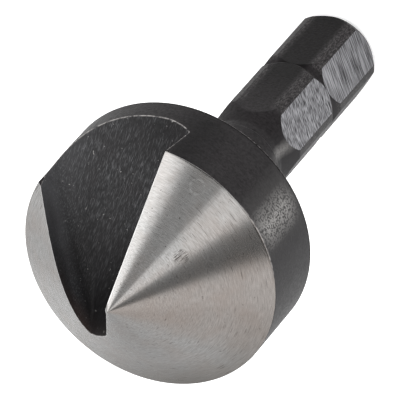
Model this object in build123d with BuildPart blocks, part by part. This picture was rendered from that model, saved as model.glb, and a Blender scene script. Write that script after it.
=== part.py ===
"""Single-flute countersink bit with a quarter-inch hex power shank.

The bit is turned from one bar of high-speed steel, so it is one solid.  It stands on the end
face of its shank at the origin, with its axis along +Z and its point up.  The ground rake face
runs along X, with the open flute on the +Y side of it.  Sizes are in millimetres and degrees.
"""

from build123d import *
import math
import os

# Head: a 110 degree cutting cone on a short round land
head_diameter = 19.05
point_angle = 110.0
land_length = 6.1
back_edge_chamfer = 0.3

# Neck: a quarter-inch round behind the head, then a turned relief where the hex ends
neck_diameter = 6.35
neck_length = 8.53
neck_fillet = 1.0
relief_diameter = 5.7
relief_length = 0.75
lead_angle = 20.0

# Shank: hexagonal bar whose corners are turned round, with a detent ring and a chamfered end
hex_across_flats = 6.35
corner_diameter = 6.99
hex_length = 13.96
hex_clock = 3.9
detent_from_end = 7.6
detent_diameter = 6.33
detent_angle = 130.0
end_chamfer_angle = 30.0
end_chamfer_length = 0.87
end_edge_radius = 0.35

# Flute: the faces of one milled pocket, each given by the way that it looks out into the pocket
# (azimuth round Z and lift above the horizontal) and by how far it lies from the point
rake_ahead_of_centre = 0.22
rake_hook = 7.6
entry_azimuth = 73.7
entry_set = 0.08
entry_root_radius = 5.2
entry_root_set_back = 0.51
floor_azimuth = 15.3
floor_lift = 69.2
floor_depth = 6.45
heel_azimuth = -64.4
heel_undercut = 9.7
heel_set = 4.75
heel_root_radius = 1.5

# Radii and heights that follow from the sizes above
head_radius = head_diameter / 2
neck_radius = neck_diameter / 2
relief_radius = relief_diameter / 2
corner_radius = corner_diameter / 2
end_radius = corner_radius - end_chamfer_length * math.tan(math.radians(end_chamfer_angle))
lead_length = (corner_radius - relief_radius) / math.tan(math.radians(lead_angle))
relief_bottom = hex_length + lead_length
relief_top = relief_bottom + relief_length
neck_bottom = relief_top + (neck_radius - relief_radius)
head_bottom = neck_bottom + neck_length
land_top = head_bottom + land_length
point_height = land_top + head_radius / math.tan(math.radians(point_angle / 2))


def pocket_face(azimuth, lift, offset):
    """Plane of one flute face, looking into the pocket, offset from the point along its normal."""
    level = math.cos(math.radians(lift))
    normal = Vector(
        level * math.cos(math.radians(azimuth)),
        level * math.sin(math.radians(azimuth)),
        math.sin(math.radians(lift)),
    )
    return Plane(origin=Vector(0, 0, point_height) + normal * offset, z_dir=normal)


rake_face = pocket_face(90, -rake_hook, rake_ahead_of_centre)
entry_face = pocket_face(entry_azimuth, 0, entry_set)
entry_root_wall = pocket_face(entry_azimuth, 0, entry_set - entry_root_set_back)
floor_face = pocket_face(floor_azimuth, floor_lift, -floor_depth)
heel_face = pocket_face(heel_azimuth, -heel_undercut, -heel_set)

# Flute pocket: milled with a small root radius against the heel and a large one on the cutting
# side, then ground back to its entry and rake faces, which leave part of the large root standing
with BuildPart() as cutting_side:
    with Locations((0, 0, point_height)):
        Cylinder(radius=2 * head_radius, height=4 * head_radius)
    split(bisect_by=floor_face, keep=Keep.TOP)
    split(bisect_by=entry_root_wall, keep=Keep.TOP)
    floor_edges = faces().filter_by(floor_face).edges()
    wall_edges = faces().filter_by(entry_root_wall).edges()
    fillet(floor_edges & wall_edges, radius=entry_root_radius)

with BuildPart() as flute_pocket:
    with Locations((0, 0, point_height)):
        Cylinder(radius=2 * head_radius, height=4 * head_radius)
    split(bisect_by=floor_face, keep=Keep.TOP)
    split(bisect_by=heel_face, keep=Keep.TOP)
    floor_edges = faces().filter_by(floor_face).edges()
    heel_edges = faces().filter_by(heel_face).edges()
    fillet(floor_edges & heel_edges, radius=heel_root_radius)
    add(cutting_side.part, mode=Mode.INTERSECT)
    split(bisect_by=entry_face, keep=Keep.TOP)
    split(bisect_by=rake_face, keep=Keep.TOP)

with BuildPart() as countersink_bit:
    # Turned blank, from the end of the shank up to the point
    with BuildSketch(Plane.XZ):
        with BuildLine():
            Polyline(
                (0, 0),
                (end_radius, 0),
                (corner_radius, end_chamfer_length),
                (corner_radius, hex_length),
                (relief_radius, relief_bottom),
                (relief_radius, relief_top),
                (neck_radius, neck_bottom),
                (neck_radius, head_bottom),
                (head_radius, head_bottom),
                (head_radius, land_top),
                (0, point_height),
                (0, 0),
            )
        make_face()
    revolve(axis=Axis.Z)

    head_back = faces().filter_by(Axis.Z).sort_by(Axis.Z)[-1]
    chamfer(head_back.edges().sort_by(SortBy.RADIUS)[-1], length=back_edge_chamfer)
    head_back = faces().filter_by(Axis.Z).sort_by(Axis.Z)[-1]
    fillet(head_back.edges().sort_by(SortBy.RADIUS)[0], radius=neck_fillet)

    # Detent ring turned into the hex corners, for the ball of a quick-change holder
    detent_depth = corner_radius - detent_diameter / 2
    detent_half_width = detent_depth * math.tan(math.radians(detent_angle / 2))
    with BuildSketch(Plane.XZ):
        with BuildLine():
            Polyline(
                (corner_radius - detent_depth, detent_from_end),
                (corner_radius, detent_from_end + detent_half_width),
                (corner_radius + detent_depth, detent_from_end + detent_half_width),
                (corner_radius + detent_depth, detent_from_end - detent_half_width),
                (corner_radius, detent_from_end - detent_half_width),
                (corner_radius - detent_depth, detent_from_end),
            )
        make_face()
    revolve(axis=Axis.Z, mode=Mode.SUBTRACT)

    # Six flats milled from the end up to the relief
    with BuildSketch(Plane.XY):
        Circle(radius=2 * corner_radius)
        RegularPolygon(
            radius=hex_across_flats / 2,
            side_count=6,
            major_radius=False,
            rotation=hex_clock + 30,
            mode=Mode.SUBTRACT,
        )
    extrude(amount=relief_bottom, mode=Mode.SUBTRACT)

    end_face = faces().sort_by(Axis.Z)[0]
    fillet(end_face.edges(), radius=end_edge_radius)

    add(flute_pocket.part, mode=Mode.SUBTRACT)

countersink_bit.part.label = "countersink_bit"
os.makedirs("parts", exist_ok=True)
export_step(countersink_bit.part, "parts/countersink_bit.step")
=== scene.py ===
"""A countersink bit standing on its shank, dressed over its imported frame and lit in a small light
tent.  The scene is in metres, with the bit's axis on Z and its point up."""

import bmesh
import bpy
import math
import numpy as np
from mathutils import Matrix, Vector


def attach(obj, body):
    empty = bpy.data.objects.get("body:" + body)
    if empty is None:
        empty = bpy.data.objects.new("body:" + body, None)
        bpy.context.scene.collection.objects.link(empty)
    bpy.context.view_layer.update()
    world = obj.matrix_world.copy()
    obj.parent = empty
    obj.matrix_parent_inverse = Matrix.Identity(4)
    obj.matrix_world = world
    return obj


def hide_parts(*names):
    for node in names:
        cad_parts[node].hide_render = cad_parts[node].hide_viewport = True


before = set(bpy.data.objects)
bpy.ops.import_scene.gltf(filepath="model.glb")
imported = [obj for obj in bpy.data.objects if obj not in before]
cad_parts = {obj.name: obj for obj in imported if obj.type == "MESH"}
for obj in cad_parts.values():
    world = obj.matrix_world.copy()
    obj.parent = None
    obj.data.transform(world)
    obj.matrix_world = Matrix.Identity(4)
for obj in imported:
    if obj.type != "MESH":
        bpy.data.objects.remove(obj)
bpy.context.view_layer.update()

# ---------------------------------------------------------------- camera
# A long lens, well back, looks down over the point with the shank running away to the upper right.
LENS_MM = 561.8
SENSOR_MM = 36.0
NEAREST = 0.01
FARTHEST = 20.0
STAND_POINT = Vector((0.23979, -0.14118, 0.35735))
LOOK = Vector((-0.55056, 0.32495, -0.76895))
PICTURE_UP = Vector((0.83294, 0.27523, -0.48007))
view_data = bpy.data.cameras.new("camera")
view_data.lens = LENS_MM
view_data.sensor_width = SENSOR_MM
view_data.sensor_fit = "HORIZONTAL"
view_data.clip_start = NEAREST
view_data.clip_end = FARTHEST
camera = bpy.data.objects.new("camera", view_data)
bpy.context.scene.collection.objects.link(camera)
back = -LOOK.normalized()
right = PICTURE_UP.cross(back).normalized()
up = back.cross(right).normalized()
camera.matrix_world = Matrix((
    (right.x, up.x, back.x, STAND_POINT.x),
    (right.y, up.y, back.y, STAND_POINT.y),
    (right.z, up.z, back.z, STAND_POINT.z),
    (0, 0, 0, 1)))
bpy.context.scene.camera = camera

# ---------------------------------------------------------------- floor
# A square sheet of white paper, on which the bit stands.  It glows a little, so that it stays white
# where the bit shades it.
PAPER_HALF = 0.065
PAPER_CORNERS = ((-1, -1), (1, -1), (1, 1), (-1, 1))
PAPER_WHITE = (0.85, 0.85, 0.85, 1.0)
PAPER_ROUGHNESS = 0.9
PAPER_GLOW = 0.35
PURE_WHITE = (1.0, 1.0, 1.0, 1.0)
floor_data = bpy.data.meshes.new("floor")
floor_data.from_pydata([(x * PAPER_HALF, y * PAPER_HALF, 0) for x, y in PAPER_CORNERS], [], [(0, 1, 2, 3)])
floor = bpy.data.objects.new("floor", floor_data)
bpy.context.scene.collection.objects.link(floor)
paper = bpy.data.materials.new("white_paper")
paper.use_nodes = True
sheet = paper.node_tree.nodes["Principled BSDF"]
sheet.inputs["Base Color"].default_value = PAPER_WHITE
sheet.inputs["Roughness"].default_value = PAPER_ROUGHNESS
sheet.inputs["Emission Color"].default_value = PURE_WHITE
sheet.inputs["Emission Strength"].default_value = PAPER_GLOW
floor_data.materials.append(paper)

# ---------------------------------------------------------------- light
# A light tent, white all round, with one softbox above it.  Its wall has two dark gaps and a dimmer
# stretch between them, which open some way above the horizon, and three brighter panels.  Below
# the horizon is the pale table, with one glow in it.  Numbers in a wedge are its middle, half-width
# and softness in degrees of the compass, and the change that it makes.
TENT_WHITE = 0.62
GAPS = ((-15.5, 20, 4, -0.61), (-87, 16.5, 4, -0.6), (-40, 8, 6, -0.1))
PANELS = ((38, 25, 5, 0.75), (110, 14, 10, 0.15), (-122, 14, 8, 0.07))
TABLE_WHITE = 0.5
TABLE_GLOW = ((122, 20, 12, 0.17),)

# Heights are the sine of the angle above the horizon: where the gaps begin and where they are at
# their darkest, and where the wall ends and the table begins
GAP_BEGINS = 0.3
GAP_DARKEST = 0.6
WALL_ENDS = 0.02
TABLE_BEGINS = -0.04

# Matt surfaces get more light than the tent's wall shows in a reflection, the camera sees plain
# white behind everything, and reflections of one side are a little warm
MATT_LIGHT = 1.8
WHITE_BEHIND = 1.0
WARM_SIDE = ((-110, 50, 14, 1.0),)
WARM_WHITE = (1.0, 0.93, 0.89, 1.0)

# The softbox hangs over the bit and faces straight down
SOFTBOX_HEIGHT = 0.9
SOFTBOX_SIDE = 1.2
SOFTBOX_WATTS = 2.0


def add(owner, kind, *values, output=None, **settings):
    """Adds a shader node and gives it its settings.  Each value is then set on, or linked to, the
    next of the inputs in use, and None leaves one alone.  Returns the first output in use, or the
    one that is named."""
    node = owner.node_tree.nodes.new("ShaderNode" + kind)
    for name, setting in settings.items():
        setattr(node, name, setting)
    for socket, value in zip([socket for socket in node.inputs if socket.enabled], values):
        if isinstance(value, bpy.types.NodeSocket):
            owner.node_tree.links.new(value, socket)
        elif value is not None:
            socket.default_value = value
    return next(socket for socket in node.outputs if socket.enabled and output in (None, socket.name))


tent = bpy.data.worlds.new("light_tent")
tent.use_nodes = True
direction = add(tent, "TexCoord", output="Generated")
height = add(tent, "SeparateXYZ", direction, output="Z")
bearing = add(tent, "Math", add(tent, "SeparateXYZ", direction, output="Y"),
              add(tent, "SeparateXYZ", direction, output="X"), operation="ARCTAN2")


def with_wedges(level, wedges):
    """The level with the change of each wedge added where the bearing is less than the half-width
    away from its middle, and falling off smoothly over the softness on both sides of that."""
    for middle, half, soft, change in wedges:
        off = add(tent, "Math", bearing, math.radians(middle), operation="SUBTRACT")
        off = add(tent, "Math", off, operation="ABSOLUTE")
        wedge = add(tent, "MapRange", off, math.radians(half + soft), math.radians(half - soft),
                    0.0, change, interpolation_type="SMOOTHSTEP")
        level = add(tent, "Math", level, wedge, operation="ADD")
    return level


raised = add(tent, "MapRange", height, GAP_BEGINS, GAP_DARKEST)
wall = add(tent, "Math", with_wedges(0.0, GAPS), raised, operation="MULTIPLY")
wall = add(tent, "Math", wall, TENT_WHITE, operation="ADD")
wall = with_wedges(wall, PANELS)
table = with_wedges(TABLE_WHITE, TABLE_GLOW)
below = add(tent, "MapRange", height, WALL_ENDS, TABLE_BEGINS)
brightness = add(tent, "Mix", below, wall, table)
on_matt = add(tent, "LightPath", output="Is Diffuse Ray")
brightness = add(tent, "Mix", on_matt, brightness, MATT_LIGHT)
in_view = add(tent, "LightPath", output="Is Camera Ray")
brightness = add(tent, "Mix", in_view, brightness, WHITE_BEHIND)
mirrored = add(tent, "LightPath", output="Is Glossy Ray")
warm = add(tent, "Math", with_wedges(0.0, WARM_SIDE), mirrored, operation="MULTIPLY")
tint = add(tent, "Mix", warm, PURE_WHITE, WARM_WHITE, data_type="RGBA")
tent.node_tree.links.new(tint, tent.node_tree.nodes["Background"].inputs["Color"])
tent.node_tree.links.new(brightness, tent.node_tree.nodes["Background"].inputs["Strength"])
bpy.context.scene.world = tent
bpy.context.scene.view_settings.view_transform = "Standard"

softbox_data = bpy.data.lights.new("top_softbox", "AREA")
softbox_data.shape = "SQUARE"
softbox_data.size = SOFTBOX_SIDE
softbox_data.energy = SOFTBOX_WATTS
softbox = bpy.data.objects.new("top_softbox", softbox_data)
softbox.location = (0, 0, SOFTBOX_HEIGHT)
bpy.context.scene.collection.objects.link(softbox)

# ---------------------------------------------------------------- the bit
# One bar of high-speed steel.  It is turned to a blank, milled with a hex and a flute, blackened
# all over in a hot oxide bath, and then ground bright on the cone.  Sizes are in millimetres and
# degrees, the same as the solid's.
MM = 0.001
HEAD_RADIUS = 9.525
POINT_HALF_ANGLE = 55.0
LAND_LENGTH = 6.1
BACK_CHAMFER = 0.3
NECK_RADIUS = 3.175
NECK_LENGTH = 8.53
NECK_FILLET = 1.0
RELIEF_RADIUS = 2.85
RELIEF_LENGTH = 0.75
LEAD_ANGLE = 20.0
FLAT_DISTANCE = 3.175
CORNER_RADIUS = 3.495
HEX_LENGTH = 13.96
HEX_CLOCK = 3.9
DETENT_FROM_END = 7.6
DETENT_RADIUS = 3.165
DETENT_ANGLE = 130.0
END_CHAMFER_ANGLE = 30.0
END_CHAMFER_LENGTH = 0.87
END_EDGE_RADIUS = 0.35


def rise(angle):
    """Height over run of a slope, from its angle in degrees."""
    return math.tan(math.radians(angle))


END_RADIUS = CORNER_RADIUS - END_CHAMFER_LENGTH * rise(END_CHAMFER_ANGLE)
RELIEF_BOTTOM = HEX_LENGTH + (CORNER_RADIUS - RELIEF_RADIUS) / rise(LEAD_ANGLE)
RELIEF_TOP = RELIEF_BOTTOM + RELIEF_LENGTH
NECK_BOTTOM = RELIEF_TOP + NECK_RADIUS - RELIEF_RADIUS
HEAD_BOTTOM = NECK_BOTTOM + NECK_LENGTH
RIM_HEIGHT = HEAD_BOTTOM + LAND_LENGTH
POINT_HEIGHT = RIM_HEIGHT + HEAD_RADIUS / rise(POINT_HALF_ANGLE)
SLANT = math.hypot(HEAD_RADIUS, POINT_HEIGHT - RIM_HEIGHT)
HEAD_SPAN = SLANT + LAND_LENGTH - BACK_CHAMFER

# The rim between cone and land is broken by a hair.  The middle of the break lies inside the sharp
# rim and below it by these parts of the break.
RIM_BREAK = 0.05
RIM_EASED_IN = 0.21
RIM_EASED_DOWN = 0.1


def head_skin(turn, span):
    """A point of the blank's head: out along the cone from the tip by the span, over the broken
    rim and on down the land, turned round the axis by the angle."""
    lean = math.sin(math.radians(POINT_HALF_ANGLE))
    drop = math.cos(math.radians(POINT_HALF_ANGLE))
    spans = [0.0, SLANT - RIM_BREAK, SLANT, SLANT + RIM_BREAK, HEAD_SPAN]
    radii = [0.0, HEAD_RADIUS - RIM_BREAK * lean, HEAD_RADIUS - RIM_EASED_IN * RIM_BREAK,
             HEAD_RADIUS, HEAD_RADIUS]
    heights = [POINT_HEIGHT, RIM_HEIGHT + RIM_BREAK * drop, RIM_HEIGHT - RIM_EASED_DOWN * RIM_BREAK,
               RIM_HEIGHT - RIM_BREAK, RIM_HEIGHT - (HEAD_SPAN - SLANT)]
    turn, span = np.broadcast_arrays(turn, span)
    out = np.interp(span, spans, radii)
    return np.stack([out * np.cos(turn), out * np.sin(turn), np.interp(span, spans, heights)], -1)


def looking(azimuth, lift):
    """Unit vector from its azimuth round Z and its lift above the horizontal, in degrees."""
    level = math.cos(math.radians(lift))
    return np.array([level * math.cos(math.radians(azimuth)), level * math.sin(math.radians(azimuth)),
                     math.sin(math.radians(lift))])


# The flute is one pocket, milled with a small root radius against the heel and a large one on the
# cutting side, then ground back to its entry and rake faces, with eased corners where those meet
# the milled ones.  Each face is given by the way that it looks out into the pocket, from its
# azimuth and its lift, and by how far it lies from the point.
RAKE_FACING = looking(90.0, -7.6)
RAKE_AHEAD_OF_CENTRE = 0.22
ENTRY_FACING = looking(73.7, 0.0)
ENTRY_SET = 0.08
ENTRY_ROOT_RADIUS = 5.2
ENTRY_ROOT_SET_BACK = 0.51
FLOOR_FACING = looking(15.3, 69.2)
FLOOR_DEPTH = 6.45
HEEL_FACING = looking(-64.4, -9.7)
HEEL_SET = 4.75
HEEL_ROOT_RADIUS = 1.5
GROUND_EASE = 0.12

# A length too small to matter, which keeps roots and divisions clear of zero
TINY = 1e-9


def rounded_corner(a, b, facing_a, facing_b, radius):
    """Depth inside a corner of two planes with a root radius: the smaller of the two depths, or
    the radius less the distance from the root's centre line where both planes are near."""
    lean = facing_a @ facing_b
    u, v = a - radius, b - radius
    along_a = (u - lean * v) / (1 - lean ** 2)
    along_b = (v - lean * u) / (1 - lean ** 2)
    away = np.sqrt(np.maximum((u * u + v * v - 2 * lean * u * v) / (1 - lean ** 2), TINY))
    return np.where((along_a < 0) & (along_b < 0), radius - away, np.minimum(a, b))


def eased_least(a, b, width):
    """The smaller of two values, with the corner between them eased: where they differ by less
    than the width, it loses the square of what is left of the width over four times the width."""
    left = np.maximum(width - np.abs(a - b), 0)
    return np.minimum(a, b) - left ** 2 / (4 * width)


def flute_depth(place):
    """How far a point lies inside the flute's pocket, below zero in the metal: the least of its
    depths behind the floor with its two roots, the entry face and the rake face."""
    from_point = place - np.array([0, 0, POINT_HEIGHT])
    above_floor = from_point @ FLOOR_FACING + FLOOR_DEPTH
    off_heel = from_point @ HEEL_FACING + HEEL_SET
    off_entry = from_point @ ENTRY_FACING - ENTRY_SET
    milled_depth = np.minimum(
        rounded_corner(above_floor, off_heel, FLOOR_FACING, HEEL_FACING, HEEL_ROOT_RADIUS),
        rounded_corner(above_floor, off_entry + ENTRY_ROOT_SET_BACK, FLOOR_FACING, ENTRY_FACING,
                       ENTRY_ROOT_RADIUS))
    ground_depth = np.minimum(from_point @ RAKE_FACING - RAKE_AHEAD_OF_CENTRE, off_entry)
    return eased_least(milled_depth, ground_depth, GROUND_EASE)


def crossing(outside, inside, depth_at, halvings):
    """Where a depth passes zero between two parameters, by halving the step between them."""
    for _ in range(halvings):
        middle = (outside + inside) / 2
        root_painted_shade = depth_at(middle) > 0
        inside = np.where(root_painted_shade, middle, inside)
        outside = np.where(root_painted_shade, outside, middle)
    return (outside + inside) / 2


# How finely the head is searched for the flute's edges: places along a column, how far they stay
# from its two ends, and halvings of the last step along it and of the last step round the head
PLACES_SEARCHED = 900
ENDS_LEFT_OUT = 0.02
SPAN_HALVINGS = 24
TURN_HALVINGS = 20


def flute_edges(turn):
    """For each angle round the head, the spans at which the skin enters and leaves the flute, and
    the greatest depth between them.  Where it misses the flute, both are where it comes nearest."""
    spans = np.linspace(ENDS_LEFT_OUT, HEAD_SPAN - ENDS_LEFT_OUT, PLACES_SEARCHED)
    depth = flute_depth(head_skin(turn[:, None], spans[None]))
    inside = depth > 0
    met = inside.any(1)
    nearest = depth.argmax(1)
    first = np.where(met, inside.argmax(1), nearest)
    last = np.where(met, PLACES_SEARCHED - 1 - inside[:, ::-1].argmax(1), nearest)

    def depth_at(span):
        return flute_depth(head_skin(turn, span))

    before = spans[np.maximum(first - 1, 0)]
    after = spans[np.minimum(last + 1, PLACES_SEARCHED - 1)]
    enter = np.where(met, crossing(before, spans[first], depth_at, SPAN_HALVINGS), spans[nearest])
    leave = np.where(met, crossing(after, spans[last], depth_at, SPAN_HALVINGS), spans[nearest])
    return enter, leave, depth.max(1)


# The two angles between which the flute opens, and the columns of the surface between them, which
# are spread evenly along the flute's own edges
ANGLES_SEARCHED = 2881
ANGLES_MEASURED = 2400
MOUTH_COLUMNS = 190
BOTH_ENDS = [0, -1]
scan = np.linspace(-math.pi, math.pi, ANGLES_SEARCHED)
cut = np.flatnonzero(flute_edges(scan)[2] > 0)
opens, closes = crossing(scan[[cut[0] - 1, cut[-1] + 1]], scan[cut[BOTH_ENDS]],
                         lambda turn: flute_edges(turn)[2], TURN_HALVINGS)
measured = opens + (closes - opens) * (1 - np.cos(np.linspace(0, math.pi, ANGLES_MEASURED))) / 2
steps = np.zeros(ANGLES_MEASURED - 1)
for edge_span in flute_edges(measured)[:2]:
    steps += np.linalg.norm(np.diff(head_skin(measured, edge_span), axis=0), axis=1)
run = np.concatenate([[0], np.cumsum(steps)])
mouth = np.interp(np.linspace(0, run[-1], MOUTH_COLUMNS), run, measured)

# Columns that meet the hex: its twelve corner lines with a hair of rounding, and even ones between.
# The steps lead over a broken edge, as parts of the break.
EVEN_COLUMNS = 180
CORNER_BREAK = 0.05
BREAK_STEPS = np.array([-3.0, -1.0, 0.0, 1.0, 3.0])
LEAST_TURN = 2e-4
FLATS = 6
FLAT_STEP = 2 * math.pi / FLATS
FIRST_FLAT = math.radians(HEX_CLOCK)
half_flat = math.acos(FLAT_DISTANCE / CORNER_RADIUS)
flat_turns = FIRST_FLAT + np.arange(FLATS) * FLAT_STEP
corner_lines = np.concatenate([flat_turns - half_flat, flat_turns + half_flat])
near_corners = (corner_lines[:, None] + BREAK_STEPS * CORNER_BREAK / CORNER_RADIUS).ravel()
even = np.linspace(-math.pi, math.pi, EVEN_COLUMNS, endpoint=False)
turns = np.concatenate([mouth, near_corners, even])
turns = np.sort((turns - opens) % (2 * math.pi)) + opens
turns = turns[np.concatenate([[True], np.diff(turns) > LEAST_TURN])]
columns = len(turns)

# Each column of the head has a part on the cone's side of the flute and one on the land's side.
# Outside the flute it is split at a span that runs evenly from one end of the flute to the other.
in_mouth = turns <= closes + TINY
enter, leave, _ = flute_edges(turns[in_mouth])
enter[BOTH_ENDS] = (enter[BOTH_ENDS] + leave[BOTH_ENDS]) / 2
leave[BOTH_ENDS] = enter[BOTH_ENDS]
round_back = (turns[~in_mouth] - closes) / (opens + 2 * math.pi - closes)
split_span = enter[-1] + (enter[0] - enter[-1]) * round_back
enter = np.concatenate([enter, split_span])
leave = np.concatenate([leave, split_span])

# Rows of the head: even ones, with closer ones at the point, at the flute's edges and at the rim
TIP_ROWS = 15
OUTER_ROWS = 12
POINT_ROWS = np.array([0.02, 0.07, 0.2])
EDGE_ROWS = np.array([0.04, 0.1, 0.2, 0.4])
RIM_ROWS = SLANT + BREAK_STEPS * RIM_BREAK
tip_rows = np.concatenate([
    np.linspace(0, 1, TIP_ROWS)[:, None] * enter,
    np.minimum(POINT_ROWS[:, None], enter),
    np.clip(enter - EDGE_ROWS[:, None], 0, None),
    np.minimum(RIM_ROWS[:, None], enter)])
outer_rows = np.concatenate([
    leave + np.linspace(0, 1, OUTER_ROWS)[:, None] * (HEAD_SPAN - leave),
    np.minimum(leave + EDGE_ROWS[:, None], HEAD_SPAN),
    np.clip(RIM_ROWS[:, None], leave, HEAD_SPAN)])
tip_part = head_skin(turns, np.sort(tip_rows, 0))
outer_part = head_skin(turns, np.sort(outer_rows, 0))

# The profile below the land, down to the middle of the end face.  The hexagon is the lesser of the
# turned corner and the flat, which also settles where the lead, the detent ring and the end
# chamfer run out on it.  Each corner has a radius, a height, the distance from it at which its
# rounding begins, and the number of points on that.
CORNER_EASE = 0.02
LAND_ROW = 0.15
from_flat = (turns - FIRST_FLAT + FLAT_STEP / 2) % FLAT_STEP - FLAT_STEP / 2
hexagon = eased_least(FLAT_DISTANCE / np.cos(from_flat), CORNER_RADIUS, CORNER_EASE)
detent_half = (hexagon - DETENT_RADIUS) * rise(DETENT_ANGLE / 2)
profile = [
    (HEAD_RADIUS, HEAD_BOTTOM + BACK_CHAMFER + LAND_ROW, 0, 0),
    (HEAD_RADIUS, HEAD_BOTTOM + BACK_CHAMFER, 0.05, 3),
    (HEAD_RADIUS - BACK_CHAMFER, HEAD_BOTTOM, 0.05, 3),
    (NECK_RADIUS, HEAD_BOTTOM, NECK_FILLET, 9),
    (NECK_RADIUS, NECK_BOTTOM, 0.06, 3),
    (RELIEF_RADIUS, RELIEF_TOP, 0.08, 3),
    (RELIEF_RADIUS, RELIEF_BOTTOM, 0.12, 4),
    (hexagon, HEX_LENGTH + (CORNER_RADIUS - hexagon) / rise(LEAD_ANGLE), 0.06, 3),
    (hexagon, DETENT_FROM_END + detent_half, 0.05, 3),
    (DETENT_RADIUS, DETENT_FROM_END, 0.08, 3),
    (hexagon, DETENT_FROM_END - detent_half, 0.05, 3),
    (hexagon, (hexagon - END_RADIUS) / rise(END_CHAMFER_ANGLE), 0.06, 3),
    (END_RADIUS, 0, END_EDGE_RADIUS, 7),
    (0, 0, 0, 0)]

# A rounding takes at most this part of either side, and is held flat from this many setbacks out
MOST_OF_A_SIDE = 0.3
HELD_FROM = 1.4


def softened(corners, setbacks, counts):
    """A profile with its inner corners rounded: each gives way to points of the circle that
    touches both sides at the setback, with one more point out along each side to hold them flat."""
    rows = [corners[0]]
    for at in range(1, len(corners) - 1):
        behind = corners[at - 1] - corners[at]
        ahead = corners[at + 1] - corners[at]
        far_behind = np.maximum(np.linalg.norm(behind, axis=-1, keepdims=True), TINY)
        far_ahead = np.maximum(np.linalg.norm(ahead, axis=-1, keepdims=True), TINY)
        behind = behind / far_behind
        ahead = ahead / far_ahead
        setback = np.minimum(setbacks[at], MOST_OF_A_SIDE * np.minimum(far_behind, far_ahead))
        weight = np.sqrt(np.clip((1 - (behind * ahead).sum(-1, keepdims=True)) / 2, 0, 1))
        rows.append(corners[at] + behind * setback * HELD_FROM)
        for t in np.linspace(0, 1, counts[at]):
            pull = (1 - t) ** 2 * behind * setback + t ** 2 * ahead * setback
            rows.append(corners[at] + pull / ((1 - t) ** 2 + 2 * t * (1 - t) * weight + t ** 2))
        rows.append(corners[at] + ahead * setback * HELD_FROM)
    return np.stack(rows + [corners[-1]])


radii, heights, setbacks, counts = zip(*profile)
corners = np.stack([np.stack(np.broadcast_arrays(radius, level, turns)[:2], -1)
                    for radius, level in zip(radii, heights)])
skin = softened(corners, setbacks, counts)
lower_part = np.stack([skin[..., 0] * np.cos(turns), skin[..., 0] * np.sin(turns), skin[..., 1]], -1)

# The flute's own skin, seen from a place inside the pocket: its rim is the two edges joined in a
# ring, and each row looks a little less at the rim and a little more at the middle of the floor
EYE = np.array([6.7, 3.55, 37.3])
FLOOR_MIDDLE = np.array([0.6, 0.25, 29.85])
RIM_SWINGS = [0.004, 0.012, 0.024, 0.042]
FLOOR_SWINGS = np.linspace(0.07, 1, 46)
DEEP_IN_METAL = 40.0


def unit(vectors):
    """Each vector over its own length."""
    return vectors / np.linalg.norm(vectors, axis=-1, keepdims=True)


edge_count = in_mouth.sum()
ring = np.concatenate([head_skin(turns[:edge_count], enter[:edge_count]),
                       head_skin(turns[1:edge_count - 1], leave[1:edge_count - 1])[::-1]])
swing = np.concatenate([RIM_SWINGS, FLOOR_SWINGS])[:, None, None]
sight = unit(unit(ring - EYE) * (1 - swing) + unit(FLOOR_MIDDLE - EYE) * swing)
reach = crossing(np.full(sight.shape[:2], DEEP_IN_METAL), np.zeros(sight.shape[:2]),
                 lambda far: flute_depth(EYE + sight * far[..., None]), SPAN_HALVINGS)
flute_part = np.concatenate([ring[None], EYE + sight * reach[..., None]])


def weave(rows, columns, first):
    """Faces of a closed grid of points that is numbered row by row from the first.  Each joins a
    point and the one beside it to the two in the next row."""
    row_starts = first + np.arange(rows - 1)[:, None] * columns
    here = row_starts + np.arange(columns)
    beside = row_starts + (np.arange(columns) + 1) % columns
    return np.stack([here, here + columns, beside + columns, beside], -1).reshape(-1, 4)


# The points and faces of the whole skin.  The outer part of the head and all below it are one grid.
outer_first = len(tip_part) * columns
body_rows = len(outer_part) + len(lower_part)
flute_first = outer_first + body_rows * columns
parts = (tip_part, outer_part, lower_part, flute_part)
points = np.concatenate([part.reshape(-1, 3) for part in parts])
flute_faces = weave(len(flute_part), len(ring), flute_first)
faces = np.concatenate([weave(len(tip_part), columns, 0),
                        weave(body_rows, columns, outer_first),
                        flute_faces])
mesh = bpy.data.meshes.new("countersink_bit_skin")
mesh.from_pydata((points * MM).tolist(), [], faces.tolist())


def nearest_flat(places):
    """The number of the flat nearest to each place, and the angle round the axis that it faces."""
    number = np.round((np.arctan2(places[:, 1], places[:, 0]) - FIRST_FLAT) / FLAT_STEP)
    return number, FIRST_FLAT + FLAT_STEP * number


# Which finish each face has, as the number of its material slot.  The last two sizes are how near
# a face's middle has to be to the cone or to a flat to be part of it.
GROUND, MILLED, TURNED, BRIGHT_FLAT = range(4)
RIM_REACH = 0.01
FLAT_REACH = 0.004
middles = points[faces].mean(1)
is_flute = np.arange(len(faces)) >= len(faces) - len(flute_faces)
on_cone = middles[:, 2] > RIM_HEIGHT - RIM_REACH
number, turn = nearest_flat(middles)
off_flat = middles[:, 0] * np.cos(turn) + middles[:, 1] * np.sin(turn) - FLAT_DISTANCE
on_flat = (middles[:, 2] < RELIEF_BOTTOM) & (np.abs(off_flat) < FLAT_REACH)
# Every other flat gets bare bright steel, painted light for the reflection those flats show
slot = np.select([is_flute, on_cone, on_flat & (number % 2 == 1)], [MILLED, GROUND, BRIGHT_FLAT], TURNED)
mesh.polygons.foreach_set("material_index", slot.astype(np.int32))

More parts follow.
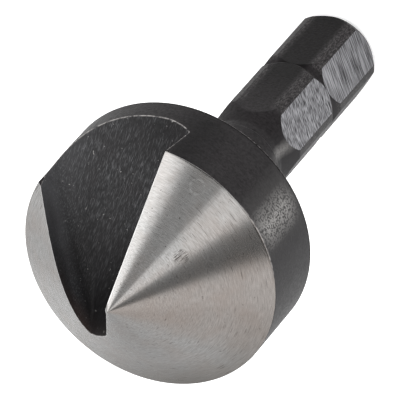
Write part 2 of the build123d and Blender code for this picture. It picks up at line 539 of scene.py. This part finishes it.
# Distance from every point of the head to the nearest of the flute's edges, for the thin bare line
# that handling rubs along them.  The rest of the bit is far from them.
FAR_FROM_EDGES = 9.0
CLEAR_OF_NECK = 1.0
BLOCKS = 40
edge_distance = np.full(len(points), FAR_FROM_EDGES)
on_head = np.flatnonzero(points[:, 2] > HEAD_BOTTOM + CLEAR_OF_NECK)
for block in np.array_split(on_head, BLOCKS):
    edge_distance[block] = np.sqrt(((points[block, None] - ring) ** 2).sum(-1).min(1))
attribute = mesh.attributes.new("edge_distance", "FLOAT", "POINT")
attribute.data.foreach_set("value", edge_distance.astype(np.float32))

# Place across the nearest flat and along the bit, for the strokes on the flats.  The third number
# is a step from flat to flat, so that no two have the same strokes.
STROKES_APART = 7.0
number, turn = nearest_flat(points)
across = points[:, 1] * np.cos(turn) - points[:, 0] * np.sin(turn)
flat_place = np.stack([across, points[:, 2], STROKES_APART * number], -1)
attribute = mesh.attributes.new("flat_place", "FLOAT_VECTOR", "POINT")
attribute.data.foreach_set("vector", flat_place.astype(np.float32).ravel())

# The parts are joined at their shared edges, slivers are taken out, and only real corners are sharp
WELD = 0.002 * MM
SLIVER = 0.001 * MM
SHARP_ANGLE = 32
skin_mesh = bmesh.new()
skin_mesh.from_mesh(mesh)
bmesh.ops.remove_doubles(skin_mesh, verts=skin_mesh.verts, dist=WELD)
bmesh.ops.dissolve_degenerate(skin_mesh, edges=skin_mesh.edges, dist=SLIVER)
bmesh.ops.recalc_face_normals(skin_mesh, faces=skin_mesh.faces)
skin_mesh.to_mesh(mesh)
skin_mesh.free()
mesh.polygons.foreach_set("use_smooth", np.ones(len(mesh.polygons), bool))
mesh.set_sharp_from_angle(angle=math.radians(SHARP_ANGLE))
bit = bpy.data.objects.new("countersink_bit_skin", mesh)
bpy.context.scene.collection.objects.link(bit)
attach(bit, "root")
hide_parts("countersink_bit")


# Four finishes follow.  The values of a noise are its place, the number of its marks in each unit
# of that, and how much finer detail it has and how strong that is.  A bearing is a middle, a
# half-width and a softness in degrees, and a band is the same in millimetres of height.
ONE_A_UNIT = 1.0
STROKE_ROUGHNESS = 0.6
WEAR_A_MM = 3.0
KNOCKED_BEARING = (-60, 14, 8)
RIM_BAND = (RIM_HEIGHT, 0.2, 0.05)


def linear(shade):
    """Linear colour of an sRGB hex value."""
    parts = [int(shade[at:at + 2], 16) / 255 for at in (1, 3, 5)]
    return [c / 12.92 if c <= 0.04045 else ((c + 0.055) / 1.055) ** 2.4 for c in parts] + [1.0]


def start(name):
    """A material in the mesh's next slot, its shader, and the place on the bit in millimetres."""
    material = bpy.data.materials.new(name)
    material.use_nodes = True
    mesh.materials.append(material)
    place = add(material, "TexCoord", output="Object")
    place = add(material, "VectorMath", place, 1 / MM, operation="SCALE")
    return material, material.node_tree.nodes["Principled BSDF"], place


def toward(owner, tone, shade, value, low=0.0, high=1.0, most=1.0):
    """The tone turned toward a shade as the value goes from low to high, by a part of the way that
    grows evenly from none to the most."""
    amount = add(owner, "MapRange", value, low, high, 0.0, most)
    return add(owner, "Mix", amount, tone, linear(shade), data_type="RGBA")


def together(owner, first, *others):
    """The product of some masks, which is 1 only where all of them are."""
    for other in others:
        first = add(owner, "Math", first, other, operation="MULTIPLY")
    return first


def strokes_lying(owner, place, turn, size, detail):
    """Noise drawn out into strokes: the place in a frame turned by three angles in degrees, with
    the strokes' size along its three axes as the unit."""
    turn = [math.radians(angle) for angle in turn]
    place = add(owner, "Mapping", place, None, turn, size, vector_type="TEXTURE")
    return add(owner, "TexNoise", place, ONE_A_UNIT, detail, STROKE_ROUGHNESS)


def round_the_axis(owner, place, marks_a_radian, marks_a_mm):
    """Coordinates for marks that run round the axis: the direction away from it times the marks in
    a radian, and on top of that the distance from it less the height, times the marks in a mm."""
    flat = add(owner, "VectorMath", place, (1, 1, 0), operation="MULTIPLY")
    away = add(owner, "VectorMath", flat, operation="NORMALIZE")
    away = add(owner, "VectorMath", away, marks_a_radian, operation="SCALE")
    along = add(owner, "Math", add(owner, "VectorMath", flat, operation="LENGTH"),
                add(owner, "SeparateXYZ", place, output="Z"), operation="SUBTRACT")
    along = add(owner, "Math", along, marks_a_mm, operation="MULTIPLY")
    along = add(owner, "CombineXYZ", None, None, along)
    return add(owner, "VectorMath", away, along, operation="ADD")


def near(owner, value, middle, half, soft):
    """1 where a value is less than half a width away from a middle, falling evenly to 0 over the
    softness on both sides of that."""
    off = add(owner, "Math", value, middle, operation="SUBTRACT")
    off = add(owner, "Math", off, operation="ABSOLUTE")
    return add(owner, "MapRange", off, half + soft, half - soft)


def near_point(owner, place, point, reach, soft):
    """1 within reach of a point, falling to 0 outside it."""
    return near(owner, add(owner, "VectorMath", place, point, operation="DISTANCE"), 0.0, reach, soft)


def near_height(owner, place, middle, half, soft):
    """1 in a band round the axis, falling to 0 above and below it, all in millimetres."""
    return near(owner, add(owner, "SeparateXYZ", place, output="Z"), middle, half, soft)


def near_bearing(owner, place, middle, half, soft):
    """1 in a wedge of the compass round the axis, falling to 0 beside it, all in degrees."""
    turn = add(owner, "Math", add(owner, "SeparateXYZ", place, output="Y"),
               add(owner, "SeparateXYZ", place, output="X"), operation="ARCTAN2")
    turn = add(owner, "Math", turn, math.radians(middle), operation="SUBTRACT")
    turn = add(owner, "Math", turn, math.pi, -math.pi, operation="WRAP")
    return near(owner, turn, 0.0, math.radians(half), math.radians(soft))


def patch(owner, place, bearing, band):
    """1 on a patch of the bit, where a wedge of the compass crosses a band of heights."""
    return together(owner, near_bearing(owner, place, *bearing), near_height(owner, place, *band))


def worn_line(owner, place, close, low, high):
    """How bare an edge is rubbed: how close it is, broken up by noise between low and high."""
    broken = add(owner, "TexNoise", place, WEAR_A_MM, 2.0, 0.6)
    return together(owner, close, add(owner, "MapRange", broken, low, high))


def knocked(owner, place, wear):
    """The wear, left out along the rim of the head apart from the stretch that has been knocked."""
    whole = add(owner, "Math", 1.0, near_bearing(owner, place, *KNOCKED_BEARING), operation="SUBTRACT")
    whole = together(owner, whole, near_height(owner, place, *RIM_BAND))
    return together(owner, wear, add(owner, "Math", 1.0, whole, operation="SUBTRACT"))


def dress(owner, shader, tone, roughness, relief, strength, depth):
    """Joins the colour, the roughness and the relief, with its depth in millimetres, to the shader."""
    owner.node_tree.links.new(tone, shader.inputs["Base Color"])
    owner.node_tree.links.new(roughness, shader.inputs["Roughness"])
    bump = add(owner, "Bump", strength, depth * MM, None, relief)
    owner.node_tree.links.new(bump, shader.inputs["Normal"])


# Ground high-speed steel: a fine wheel on the turning bit leaves rings all along the cone, so each
# light is drawn out into a band that fans from the point.  The rings are about 0.1 mm apart here,
# since the wheel's real 0.02 mm would not show.  Use has left pits and nicks of about 0.2 mm, a
# few scratches, a round chip mark and bright worn edges.  A stretch along the rim at the back is
# painted darker: painted shade that stands for a dark reflection there.
GROUND_RINGS = (13.0, 10.0)
NICKS = (9.0, 11.0)
CLOUDS_A_MM = 0.5
PITS_A_MM = 5.0
SCRATCHES_MIDDLE = (3.63, -3.64, 34.51)
SCRATCHES_TURN = (-145, 0, 45)
SCRATCH_SIZE = (0.055, 0.5, 5.0)
SCRATCHES_REACH = (0.5, 0.1)
CHIP_MIDDLE = (7.87, -3.45, 32.09)
CHIP_EDGE = (0.5, 0.075, 0.045)
GROUND_EDGE_WEAR = (0.09, 0.03)
PAINTED_RIM_SHADE_BEARING = (-158, 34, 30)
PAINTED_RIM_SHADE_BAND = (RIM_HEIGHT, 0.8, 1.3)
ground, shader, place = start("bright_ground_steel")
rings = add(ground, "TexNoise", round_the_axis(ground, place, *GROUND_RINGS), ONE_A_UNIT, 2.0, 0.55)
tone = toward(ground, linear("#b1b0ae"), "#cccbca", rings, 0.3, 0.7)
clouds = add(ground, "TexNoise", place, CLOUDS_A_MM, 3.0, 0.6)
tone = toward(ground, tone, "#b8aca4", clouds, 0.4, 0.7, 0.35)
# Painted shade: a stretch of the rim at the back is darkened to stand for a dark reflection
tone = toward(ground, tone, "#767069", patch(ground, place, PAINTED_RIM_SHADE_BEARING, PAINTED_RIM_SHADE_BAND), most=0.9)
pits = add(ground, "TexNoise", place, PITS_A_MM, 1.0, 0.5)
tone = toward(ground, tone, "#5a5451", pits, 0.26, 0.2, 0.8)
nicks = add(ground, "TexNoise", round_the_axis(ground, place, *NICKS), ONE_A_UNIT, 0.0)
tone = toward(ground, tone, "#6a6461", nicks, 0.25, 0.2, 0.6)
scratches = strokes_lying(ground, place, SCRATCHES_TURN, SCRATCH_SIZE, 0.0)
scratches = add(ground, "MapRange", scratches, 0.52, 0.42)
scratches = together(ground, scratches, near_point(ground, place, SCRATCHES_MIDDLE, *SCRATCHES_REACH))
tone = toward(ground, tone, "#4f4a47", scratches, most=0.85)
chip = add(ground, "VectorMath", place, CHIP_MIDDLE, operation="DISTANCE")
chip = worn_line(ground, place, near(ground, chip, *CHIP_EDGE), 0.4, 0.6)
tone = toward(ground, tone, "#f0efee", chip, most=0.5)
edge = add(ground, "Attribute", attribute_name="edge_distance", output="Fac")
bare = worn_line(ground, place, add(ground, "MapRange", edge, *GROUND_EDGE_WEAR), 0.25, 0.5)
tone = toward(ground, tone, "#f4f3f2", knocked(ground, place, bare))
shader.inputs["Metallic"].default_value = 1.0
shader.inputs["Anisotropic"].default_value = 0.85
shader.inputs["Anisotropic Rotation"].default_value = 0.25
round_it = add(ground, "Tangent", direction_type="RADIAL", axis="Z")
ground.node_tree.links.new(round_it, shader.inputs["Tangent"])
dress(ground, shader, tone, add(ground, "MapRange", rings, 0.3, 0.7, 0.21, 0.16), rings, 0.2, 0.01)

# Black oxide over milled steel: the skin is nearly black and dull, and the cutter's strokes, which
# run out along the flute, catch the light as short fine lines.  The oxide is rubbed off the edges
# and a little rusty on one side.  Painted light makes the heel's wall and the open end paler, and
# painted shade darkens the root and the outer corner near the cutting side.
STROKES_TURN = (0, 19.5, -7)
STROKE_SIZE = (0.5, 0.065, 0.065)
FINE_GRAIN_A_MM = 6.0
PATCHES_A_MM = 0.5
SPECKS_A_MM = 4.5
HEEL_PLACE = POINT_HEIGHT * HEEL_FACING[2] - HEEL_SET
OFF_HEEL = (HEEL_PLACE, HEEL_PLACE + 0.5)
HEEL_PAINTED_LIGHT_HEIGHTS = (33.6, 31.0)
ROOT_SHADE_HEIGHTS = (30.0, 32.6)
RUST_REACH = (1.3, 0.1)
RUSTY_BEARING = (140, 30, 20)
OPEN_END_PAINTED_LIGHT = (5.5, 8.0)
SHADED_CORNER_X = (5.0, 8.5)
SHADED_CORNER_Y = (5.0, 1.0)
OXIDE_EDGE_WEAR = (0.07, 0.02)
milled, shader, place = start("milled_black_oxide")
x_place = add(milled, "SeparateXYZ", place, output="X")
y_place = add(milled, "SeparateXYZ", place, output="Y")
z_place = add(milled, "SeparateXYZ", place, output="Z")
edge = add(milled, "Attribute", attribute_name="edge_distance", output="Fac")
fine_grain = add(milled, "TexNoise", place, FINE_GRAIN_A_MM, 2.0, 0.6)
tone = toward(milled, linear("#222223"), "#2d2d2e", fine_grain, 0.3, 0.7)
off_heel = add(milled, "VectorMath", place, HEEL_FACING, operation="DOT_PRODUCT")
off_heel = add(milled, "MapRange", off_heel, *OFF_HEEL)
on_heel = add(milled, "Math", 1.0, off_heel, operation="SUBTRACT")
# Painted light: the heel's wall is made paler below about 33.6 mm
heel_painted_light = together(milled, on_heel, add(milled, "MapRange", z_place, *HEEL_PAINTED_LIGHT_HEIGHTS))
tone = toward(milled, tone, "#4c4c4e", heel_painted_light, most=0.7)
strokes = strokes_lying(milled, place, STROKES_TURN, STROKE_SIZE, 1.0)
tone = toward(milled, tone, "#5c5c5e", strokes, 0.5, 0.8, 0.8)
patches = add(milled, "TexNoise", place, PATCHES_A_MM, 3.0, 0.6)
tone = toward(milled, tone, "#282526", patches, 0.35, 0.7, 0.4)
rusty = together(milled, add(milled, "MapRange", edge, *RUST_REACH),
                 near_bearing(milled, place, *RUSTY_BEARING))
tone = toward(milled, tone, "#453631", rusty, most=0.5)
# Painted light: the flute is made paler toward its open end, as Y grows
tone = toward(milled, tone, "#4c4c4e", y_place, *OPEN_END_PAINTED_LIGHT, 0.3)
# Painted shade: the root of the flute, away from the heel, is darkened
root_painted_shade = together(milled, off_heel, add(milled, "MapRange", z_place, *ROOT_SHADE_HEIGHTS))
tone = toward(milled, tone, "#0b0a0b", root_painted_shade, most=0.8)
# Painted shade: the outer corner near the cutting side is darkened
corner_painted_shade = together(milled, add(milled, "MapRange", x_place, *SHADED_CORNER_X),
                      add(milled, "MapRange", y_place, *SHADED_CORNER_Y))
tone = toward(milled, tone, "#131213", corner_painted_shade, most=0.5)
specks = add(milled, "TexNoise", place, SPECKS_A_MM, 1.0, 0.5)
tone = toward(milled, tone, "#9a9896", specks, 0.74, 0.82, 0.7)
bare = worn_line(milled, place, add(milled, "MapRange", edge, *OXIDE_EDGE_WEAR), 0.35, 0.6)
tone = toward(milled, tone, "#858280", bare)
shader.inputs["Specular IOR Level"].default_value = 0.12
dress(milled, shader, tone, add(milled, "MapRange", fine_grain, 0.3, 0.7, 0.55, 0.42), strokes, 0.3, 0.02)

# Black oxide over turned steel: a dull black skin, pitted where scale was etched off the bar, with
# the oxide rubbed thin on the corners of the hex and off the edges.  Painted sheen and a painted
# highlight broken up by the pits lie down one side of the head, painted shade on a patch of the
# head and on one flat, and a painted highlight on the lead.
TURNED_RINGS = (8.0, 5.0)
GRAIN_A_MM = 5.0
SCALE_PITS_A_MM = 6.5
CORNER_MARK_SIZE = (0.09, 0.09, 0.3)
LAND_PAINTED_SHEEN_BEARING = (-85, 26, 20)
HEAD_PAINTED_SHADE_BEARING = (-10, 4, 10)
HEAD_PAINTED_SHADE_BAND = (29.0, 3.0, 0.6)
LEAD_HIGHLIGHT_BEARING = (-66, 2, 10)
LEAD_HIGHLIGHT_BAND = (15.6, 1.1, 0.9)
CORNER_REACH = (3.3, 3.42)
HEX_BAND = (6.0, 7.6, 0.4)
FLAT_PAINTED_SHADE_BEARING = (HEX_CLOCK, 20, 4)
FLAT_PAINTED_SHADE_BAND = (5.0, 7.0, 3.0)
SIDE_PAINTED_SHEEN_BEARING = (-56, 1, 15)
SIDE_PAINTED_SHEEN_BAND = (28.5, 3.0, 0.6)
PITTED_HIGHLIGHT_BEARING = (-58, 1, 9)
PITTED_HIGHLIGHT_BAND = (28.9, 2.4, 0.8)
RIM_LINE = (RIM_HEIGHT, 0.07, 0.05)
BACK_EDGE_LINE = (HEAD_BOTTOM + BACK_CHAMFER, 0.03, 0.03)
turned, shader, place = start("turned_black_oxide")
grain = add(turned, "TexNoise", place, GRAIN_A_MM, 3.0, 0.65)
tone = toward(turned, linear("#161415"), "#242223", grain, 0.3, 0.7)
rings = add(turned, "TexNoise", round_the_axis(turned, place, *TURNED_RINGS), ONE_A_UNIT, 2.0, 0.6)
tone = toward(turned, tone, "#2e2c2d", rings, 0.45, 0.8, 0.4)
# Painted sheen: a wide stretch of the land round -85 degrees is made paler
tone = toward(turned, tone, "#2c2b2c", near_bearing(turned, place, *LAND_PAINTED_SHEEN_BEARING))
# Painted shade: a patch of the head near -10 degrees is made blacker, standing for a dark reflection
tone = toward(turned, tone, "#080708", patch(turned, place, HEAD_PAINTED_SHADE_BEARING, HEAD_PAINTED_SHADE_BAND))
# Painted highlight: a bright streak on the lead below the neck, broken by the grain
lead_painted_highlight = together(turned, patch(turned, place, LEAD_HIGHLIGHT_BEARING, LEAD_HIGHLIGHT_BAND),
                  add(turned, "MapRange", grain, 0.3, 0.6, 0.4, 0.9))
tone = toward(turned, tone, "#8a8886", lead_painted_highlight)
from_axis = add(turned, "VectorMath", place, (1, 1, 0), operation="MULTIPLY")
from_axis = add(turned, "VectorMath", from_axis, operation="LENGTH")
corner_marks = strokes_lying(turned, place, (0, 0, 0), CORNER_MARK_SIZE, 2.0)
corner_marks = together(turned, add(turned, "MapRange", corner_marks, 0.45, 0.7),
                        add(turned, "MapRange", from_axis, *CORNER_REACH),
                        near_height(turned, place, *HEX_BAND))
tone = toward(turned, tone, "#434141", corner_marks)
# Painted shade: the flat facing 3.9 degrees is made nearly black, standing for a dark reflection
tone = toward(turned, tone, "#050404", patch(turned, place, FLAT_PAINTED_SHADE_BEARING, FLAT_PAINTED_SHADE_BAND), most=0.8)
# Painted sheen: a narrow band down one side of the head is made paler
tone = toward(turned, tone, "#454443", patch(turned, place, SIDE_PAINTED_SHEEN_BEARING, SIDE_PAINTED_SHEEN_BAND))
scale_pits = add(turned, "TexNoise", place, SCALE_PITS_A_MM, 1.0, 0.6)
# Painted highlight down one side of the head, broken up by the scale pits, which stay dark
pitted_painted_highlight = together(turned, patch(turned, place, PITTED_HIGHLIGHT_BEARING, PITTED_HIGHLIGHT_BAND),
                       add(turned, "MapRange", scale_pits, 0.41, 0.54))
tone = toward(turned, tone, "#949290", pitted_painted_highlight)
edge = add(turned, "Attribute", attribute_name="edge_distance", output="Fac")
worn = add(turned, "MapRange", edge, *OXIDE_EDGE_WEAR)
worn = add(turned, "Math", worn, near_height(turned, place, *RIM_LINE), operation="MAXIMUM")
worn = add(turned, "Math", worn, near_height(turned, place, *BACK_EDGE_LINE), operation="MAXIMUM")
bare = worn_line(turned, place, worn, 0.35, 0.58)
tone = toward(turned, tone, "#8f8c8a", knocked(turned, place, bare))
shader.inputs["Specular IOR Level"].default_value = 0.05
dress(turned, shader, tone, add(turned, "MapRange", grain, 0.3, 0.7, 0.55, 0.4), grain, 0.4, 0.03)

# Bright flats: every other flat is bare steel in place of the black oxide, painted light that stands
# for the bright reflection those flats show.  Grinding strokes show bright on it, leaning across the
# flat, about 0.1 mm wide.  They are long near the end of the shank and more of them are short above
# the detent ring.
LONG_STROKES_TURN = (0, 0, 75)
LONG_STROKE_SIZE = (0.11, 2.4, 1.0)
SHORT_STROKES_TURN = (0, 0, 68)
SHORT_STROKE_SIZE = (0.1, 0.6, 1.0)
SHORT_HEIGHTS = (7.2, 8.0)
SHORT_SHARE = (0.2, 0.75)
DULL_PATCHES_A_MM = 0.9
bright_flat, shader, place = start("bright_flat_steel")
place_on_flat = add(bright_flat, "Attribute", attribute_name="flat_place", output="Vector")
long_strokes = strokes_lying(bright_flat, place_on_flat, LONG_STROKES_TURN, LONG_STROKE_SIZE, 1.0)
short_strokes = strokes_lying(bright_flat, place_on_flat, SHORT_STROKES_TURN, SHORT_STROKE_SIZE, 1.0)
short_share = add(bright_flat, "SeparateXYZ", place, output="Z")
short_share = add(bright_flat, "MapRange", short_share, *SHORT_HEIGHTS, *SHORT_SHARE)
strokes = add(bright_flat, "Mix", short_share, long_strokes, short_strokes)
tone = toward(bright_flat, linear("#2b2a2c"), "#87878a", strokes, 0.38, 0.62)
patches = add(bright_flat, "TexNoise", place, DULL_PATCHES_A_MM, 3.0, 0.6)
tone = toward(bright_flat, tone, "#58575a", patches, 0.4, 0.75, 0.4)
shader.inputs["Metallic"].default_value = 1.0
dress(bright_flat, shader, tone, add(bright_flat, "MapRange", strokes, 0.3, 0.7, 0.5, 0.32), strokes, 0.4, 0.03)
